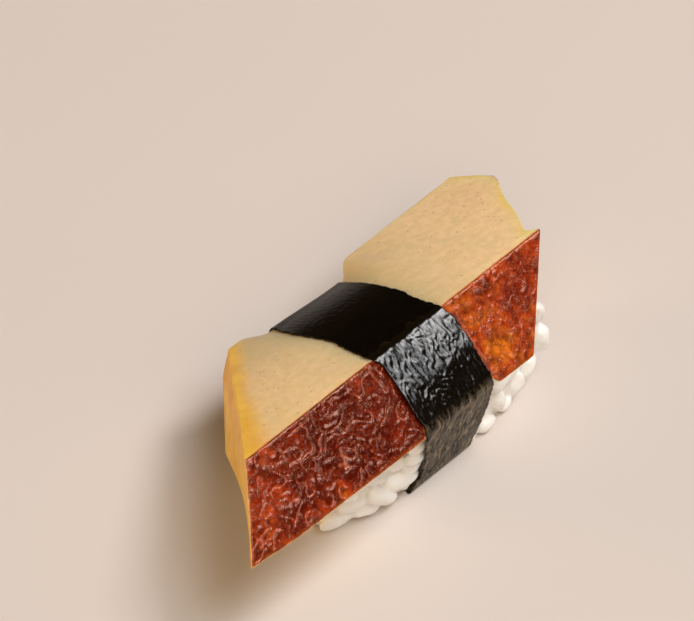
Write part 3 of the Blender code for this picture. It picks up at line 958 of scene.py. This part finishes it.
def band_piece():
    points, faces, weave, way_round = band_sheet()
    way = weave[:, 0] / way_round
    hanging, raised, crumpled = band_parts(way)
    relief = np.array([fibres(*place) for place in weave])
    folds = np.array([noise.noise(Vector((*place, 1.0))) for place in weave / FOLD_SIZE])
    folds = np.maximum(folds + FOLD_LEVEL, 0)
    at_fold = np.exp(-(((way - RIDGE_SHARE) / FOLD_WIDTH) ** 2))
    height = BAND_RELIEF * relief * raised + FOLD_CRUMPLE * folds * at_fold
    lifted = np.clip(points[:, 2] / QUIET_ABOVE_TABLE, 0, 1)
    points = points + normals_of(points, faces) * (height * lifted)[:, None]
    on_top = ((way > TOP_START + FOLD_WAVER * folds) & (way < TOP_END))[faces].all(axis=1)
    on_side = (hanging > 0.5)[faces].all(axis=1)
    looks = [nori_material(name, *look) for name, look in NORI_LOOKS.items()]
    obj = mesh_object("nori_strip", points, faces, looks, (on_top + 2 * on_side).astype(np.int32))
    add_values(obj, "hanging", hanging)
    add_values(obj, "crumpled", crumpled)
    layer = obj.data.attributes.new("weave", "FLOAT_VECTOR", "POINT")
    pattern = np.zeros((len(weave), 3), np.float32)
    pattern[:, :2] = weave / WEAVE_SIZE
    layer.data.foreach_set("vector", pattern.ravel())
    shell = obj.modifiers.new("thickness", "SOLIDIFY")
    shell.thickness = NORI_THICK
    shell.offset = 1.0
    obj.data = finished_mesh(obj)
    return obj


# The rice, on a core like the solid's

def superellipse(direction):
    """Stretches a unit direction in the plane to a rounded oblong."""
    size = sum(abs(part) ** HEAP_SQUARENESS for part in direction) ** (1 / HEAP_SQUARENESS)
    return direction / max(size, 1e-9)


def heap_point(ball_point):
    """A point of the bare core, from a point of a unit ball."""
    ring = Vector((ball_point.x, ball_point.y))
    spread = min(ring.length, 1.0) ** (2 / HEAP_SQUARENESS)
    outline = superellipse(ring.normalized()) if ring.length > 1e-6 else ring
    lift = math.copysign(abs(ball_point.z) ** (2 / HEAP_SQUARENESS), ball_point.z)
    x = HEAP_MIDDLE[0] + CORE_HALF[0] * spread * outline.x
    y = HEAP_MIDDLE[1] + CORE_HALF[1] * spread * outline.y
    z = HEAP_MIDDLE[2] + CORE_HALF[2] * lift
    bulge = RIGHT_BULGE * max(outline.x, 0.0) * ease(z / RIGHT_BULGE_RISE)
    return Vector((x + bulge * spread, y, z))


def under_slab(point, slab_tree):
    """The point lowered, where the slab lies over it, to just below the slab."""
    hit = slab_tree.ray_cast(Vector((point.x, point.y, BELOW_ALL)), Vector((0, 0, 1)))[0]
    if hit and point.z > hit.z - SLAB_CLEARANCE:
        return Vector((point.x, point.y, hit.z - SLAB_CLEARANCE))
    return point


def over_table(point):
    """The point raised, where need be, to above the table and the band's lower side."""
    over_band = BAND_LEFT - UNDER_BAND_REACH < point.x < BAND_RIGHT + UNDER_BAND_REACH
    lowest = BAND_FLOOR + GRAIN_CLEARANCE if over_band else TABLE_CLEARANCE
    return Vector((point.x, point.y, max(point.z, lowest)))


@functools.lru_cache(maxsize=None)
def band_shoulders(step):
    """The widest places of the band's near side and far side, as (y, z), at this step along the ridge."""
    loop = band_loop(step * BAND_STEP)
    return min(loop, key=lambda place: place.x), max(loop, key=lambda place: place.x)


def inside_band(point, clearance, margin, slope=0.0):
    """The point drawn in behind the band's hanging sides, and let out again beside them by the slope."""
    if not BAND_LEFT - CORE_MARGIN < point.x < BAND_RIGHT + CORE_MARGIN:
        return point
    near_top, far_top = band_shoulders(round(point.x / BAND_STEP))
    near_rise = min(max(point.z / near_top.y, 0.0), 1.0)
    far_rise = min(max(point.z / far_top.y, 0.0), 1.0)
    left, right = band_edges((RIDGE_SHARE - CRUST_SHARE) * near_rise)
    free = max(max(left - point.x, point.x - right) - margin, 0.0) * slope
    near = blend(BAND_FOOT_NEAR, near_top.x, near_rise) + clearance - free
    far = blend(BAND_FOOT_FAR, far_top.x, far_rise) - clearance + free
    return Vector((point.x, min(max(point.y, near), far), point.z))


def behind_band(point):
    """The point of a grain pressed in by the band. Beside the band the grains swell out again."""
    return inside_band(point, BAND_CLEARANCE, BAND_CLEARANCE, BESIDE_BAND_SLOPE)


def ball_points(segments, rings):
    """The points and faces of a unit ball round the x axis, a ring at a time, with a tip at each end."""
    points = [(-1.0, 0.0, 0.0)]
    for ring in range(1, rings):
        tilt = math.pi * ring / rings
        for segment in range(segments):
            turn = 2 * math.pi * segment / segments
            points.append((-math.cos(tilt), math.sin(tilt) * math.cos(turn), math.sin(tilt) * math.sin(turn)))
    points.append((1.0, 0.0, 0.0))
    faces = []
    last = len(points) - 1
    for segment in range(segments):
        following = (segment + 1) % segments
        faces.append((0, 1 + following, 1 + segment))
        for start in range(1, last - segments, segments):
            ahead = start + segments
            faces.append((start + segment, start + following, ahead + following, ahead + segment))
        start = last - segments
        faces.append((start + segment, start + following, last))
    return [Vector(point) for point in points], faces


def core_shape(slab_tree):
    """The heap without its grains, with bumps the size of rice."""
    points, faces = ball_points(CORE_SIDES[1], CORE_SIDES[0])
    made = []
    for point in points:
        place = heap_point(point)
        cell = noise.voronoi(place / CORE_BUMP)[0][0]
        place = place - point.normalized() * (CORE_SINK + CORE_RELIEF * cell)
        place = under_slab(inside_band(place, CORE_CLEARANCE, 0.0), slab_tree)
        made.append(over_table(place))
    return made, faces


def grain_shape(rng):
    """One plump grain along x, thinner and nicked at one end, slightly bent, and dented flat in places."""
    points, faces = ball_points(*GRAIN_SIDES)
    facets = []
    for _ in range(GRAIN_FACETS):
        out = Vector((rng.uniform(-FACET_TURN, FACET_TURN), rng.uniform(-1, 1), rng.uniform(-1, 1)))
        facets.append((out.normalized(), rng.uniform(*FACET_LIMITS)))
    bend = rng.uniform(-GRAIN_BEND, GRAIN_BEND)
    taper = rng.uniform(*GRAIN_TAPERS)
    shaped = []
    for point in points:
        ball_girth = max((1 - point.x ** 2) ** 0.5, 1e-6)
        fullness = (1 - abs(point.x) ** GRAIN_BLUNTNESS) ** 0.5 / ball_girth
        girth = (1 - taper * point.x) * fullness
        nick = GRAIN_NICK * rising(point.x, *GRAIN_NICK_SPAN) * max(point.z, 0.0)
        place = Vector((point.x, point.y * girth + bend * point.x ** 2, point.z * girth - nick))
        for out, limit in facets:
            place -= out * max(place.dot(out) - limit, 0.0)
        shaped.append(place)
    return shaped, faces


def grain_matrix(place, out, size, sink, rng):
    """Turns a unit grain into one that lies on the heap."""
    lie = out.to_track_quat("Z", "X").to_matrix().to_4x4()
    roll, pitch = (rng.uniform(-most, most) for most in GRAIN_TILTS)
    tilt = Euler((roll, pitch, rng.uniform(0, math.pi))).to_matrix().to_4x4()
    length = GRAIN_LENGTH * size / 2
    width = GRAIN_WIDTH * size / 2
    stretch = Matrix.Diagonal((length, width, width * GRAIN_FLATNESS, 1.0))
    return Matrix.Translation(place + out * 2 * width * sink) @ lie @ tilt @ stretch


def is_inside(tree, point):
    """Whether a closed shape holds the point: straight down, its skin then faces away."""
    normal = tree.ray_cast(point, Vector((0, 0, -1)))[1]
    return normal is not None and normal.z < 0


def is_clear(points, trees):
    for tree in trees:
        for point in points:
            if tree.find_nearest(point)[3] < GRAIN_CLEARANCE or is_inside(tree, point):
                return False
    return True


def tree_of(obj):
    """A search tree of the object, in the ridge's own place."""
    shape = bmesh.new()
    shape.from_mesh(obj.data)
    bmesh.ops.translate(shape, verts=shape.verts, vec=-RIDGE_START)
    tree = BVHTree.FromBMesh(shape)
    shape.free()
    return tree


def large_grain(core_tree, start_x, start_z, end_x, end_z, width, proud):
    """Turns a unit grain into a large grain on the near face."""
    ends = []
    outs = []
    for x, z in ((start_x * MM, start_z * MM), (end_x * MM, end_z * MM)):
        hit, normal, _, _ = core_tree.find_nearest(Vector((x, HEAP_MIDDLE[1] - NEAR_OF_HEAP, z)))
        ends.append(Vector((x, hit.y, z)))
        outs.append(normal)
    length = (ends[1] - ends[0]).length
    axis = (ends[1] - ends[0]) / length
    side = (outs[0] + outs[1]).cross(axis).normalized()
    out = axis.cross(side)
    turned = Matrix((axis, side, out)).transposed().to_4x4()
    half_width = width / 2 * MM
    stretch = Matrix.Diagonal((length / 2, half_width, half_width * GRAIN_FLATNESS, 1.0))
    middle = (ends[0] + ends[1]) / 2 + out * (proud * MM - LARGE_GRAIN_SINK * half_width)
    return Matrix.Translation(middle) @ turned @ stretch


def fused(obj):
    """Joins the touching grains of the object into one soft skin, as cooked rice sticks together."""
    joining = obj.modifiers.new("fused", "REMESH")
    joining.mode = "VOXEL"
    joining.voxel_size = RICE_VOXEL
    mesh = finished_mesh(obj)
    points = np.array([point.co for point in mesh.vertices])
    faces = np.array([face.vertices for face in mesh.polygons])
    points = smoothed(points, faces, np.ones(len(points)), RICE_SOFTENING)
    mesh.vertices.foreach_set("co", points.ravel())
    mesh.shade_smooth()
    mesh.update()
    obj.data = mesh


def keep_clear(obj, slab_tree):
    """Draws the skin out of the slab and the band, wherever a grain's edge still reaches into them."""
    for point in obj.data.vertices:
        place = behind_band(under_slab(point.co - RIDGE_START, slab_tree))
        near, _, _, distance = slab_tree.find_nearest(place)
        if distance < SKIN_CLEARANCE:
            place = near + (place - near).normalized() * SKIN_CLEARANCE
        point.co = place + RIDGE_START
    obj.data.update()


def spine_of(matrix):
    """Three points along the middle of a grain."""
    return np.array([matrix @ Vector((step, 0.0, 0.0)) for step in GRAIN_SPINE])


def add_grain(points, faces, grain, grain_faces):
    """Adds a grain to the points and the faces, kept above the table."""
    start = len(points)
    points.extend(over_table(point) for point in grain)
    faces.extend(tuple(start + corner for corner in face) for face in grain_faces)


def scatter_places(points, faces):
    """The middle and the outward direction of each of the core's faces above the table, and their areas."""
    places = []
    areas = []
    for face in faces:
        corners = [points[corner] for corner in face]
        middle = sum(corners, Vector()) / len(corners)
        second = corners[1] if len(corners) == 4 else corners[0]
        tilt = (corners[2] - corners[0]).cross(corners[-1] - second)
        if middle.z > SCATTER_FROM and tilt.length > 0:
            places.append((middle, tilt.normalized()))
            areas.append(tilt.length)
    return places, areas


def grain_skin(matrix, slab_tree, rng):
    """A grain's points, its faces, and how far the slab or the band presses it in at most."""
    shape, faces = grain_shape(rng)
    free = [matrix @ point for point in shape]
    pressed = [behind_band(under_slab(point, slab_tree)) for point in free]
    return pressed, faces, max((before - after).length for before, after in zip(free, pressed))


def rice_piece(slab, band):
    """The core and its grains: the large ones by their places, then smaller and smaller ones scattered."""
    trees = [tree_of(slab), tree_of(band)]
    points, faces = core_shape(trees[0])
    core_tree = BVHTree.FromPolygons(points, faces)
    places, areas = scatter_places(points, faces)
    rng = random.Random(GRAIN_SEED)
    spines = np.empty((0, 3))
    for grain in LARGE_GRAINS:
        matrix = large_grain(core_tree, *grain)
        spines = np.vstack([spines, spine_of(matrix)])
        skin, skin_faces, _ = grain_skin(matrix, trees[0], rng)
        add_grain(points, faces, skin, skin_faces)
    for turn in range(GRAIN_TRIES):
        share = turn / GRAIN_TRIES
        place, out = rng.choices(places, areas)[0]
        for sink in GRAIN_SINKS:
            matrix = grain_matrix(place, out, blend(*GRAIN_SIZES, share), sink, rng)
            spine = spine_of(matrix)
            gaps = np.linalg.norm(spines[:, None] - spine[None], axis=2)
            if gaps.min() < blend(*GRAIN_SPACING, share):
                continue
            skin, skin_faces, moved = grain_skin(matrix, trees[0], rng)
            if moved < MOST_PRESSED and is_clear(skin[::2], trees):
                spines = np.vstack([spines, spine])
                add_grain(points, faces, skin, skin_faces)
                break
    obj = mesh_object("rice_grains", points, faces, [rice_material()])
    fused(obj)
    keep_clear(obj, trees[0])
    # How near each point lies to the core, for the painted shade in the hollows between grains
    depths = [core_tree.find_nearest(point.co - RIDGE_START)[3] for point in obj.data.vertices]
    add_values(obj, "hollow", [HOLLOW_SHADE * (1 - ease(depth / HOLLOW_DEPTH)) for depth in depths])
    return obj


# Camera, floor and light

def make_camera():
    back = aim(CAMERA_TURN, CAMERA_RISE)
    right = Vector((math.cos(CAMERA_TURN), math.sin(CAMERA_TURN), 0.0))
    up = back.cross(right)
    width, height = PHOTO_SIZE
    ridge = RIDGE_START + Vector((0.0, 0.0, RIDGE_HEIGHT))
    middle = NIGIRI_MIDDLE + RIDGE_START
    target = ridge + right * ((width / 2 - RIDGE_START_PIXEL[0]) * PIXEL)
    target += up * ((RIDGE_START_PIXEL[1] - height / 2) * PIXEL)
    target -= back * (target - middle).dot(back)
    data = bpy.data.cameras.new("camera")
    data.sensor_width = CAMERA_SENSOR
    data.lens = CAMERA_SENSOR * CAMERA_DISTANCE / (width * PIXEL)
    camera = placed("camera", data)
    turned = Matrix((right, up, back)).transposed().to_4x4()
    camera.matrix_world = Matrix.Translation(target + back * CAMERA_DISTANCE) @ turned
    bpy.context.scene.camera = camera


def make_softbox(name, turn, rise, distance, size, power, colour):
    data = bpy.data.lights.new(name, "AREA")
    data.shape = "SQUARE"
    data.size = size
    data.energy = power
    data.color = colour
    softbox = placed(name, data)
    direction = aim(math.radians(turn), math.radians(rise))
    softbox.location = direction * distance
    softbox.rotation_euler = direction.to_track_quat("Z", "Y").to_euler()


def make_floor():
    shape = bmesh.new()
    bmesh.ops.create_grid(shape, x_segments=8, y_segments=8, size=FLOOR_HALF)
    mesh = bpy.data.meshes.new("floor")
    shape.to_mesh(mesh)
    shape.free()
    mesh.materials.append(floor_material())
    placed("floor", mesh)


def make_room():
    """A dark room round the table, and colours shown as they are."""
    world = bpy.data.worlds.new("room")
    bpy.context.scene.world = world
    world.use_nodes = True
    world.node_tree.nodes["Background"].inputs["Color"].default_value = (*ROOM_LIGHT, 1.0)
    bpy.context.scene.view_settings.view_transform = "Standard"


noise.seed_set(RELIEF_SEED)
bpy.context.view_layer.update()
make_camera()
make_room()
make_floor()
for name, setting in SOFTBOXES.items():
    make_softbox(name, *setting)
omelette = omelette_piece()
band = band_piece()
rice = rice_piece(omelette, band)
for piece, node, slot in (
    (omelette, "omelette", "omelette"),
    (band, "nori_band", "nori"),
    (rice, "rice", "rice"),
):
    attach(piece, "root")
    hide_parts(node)
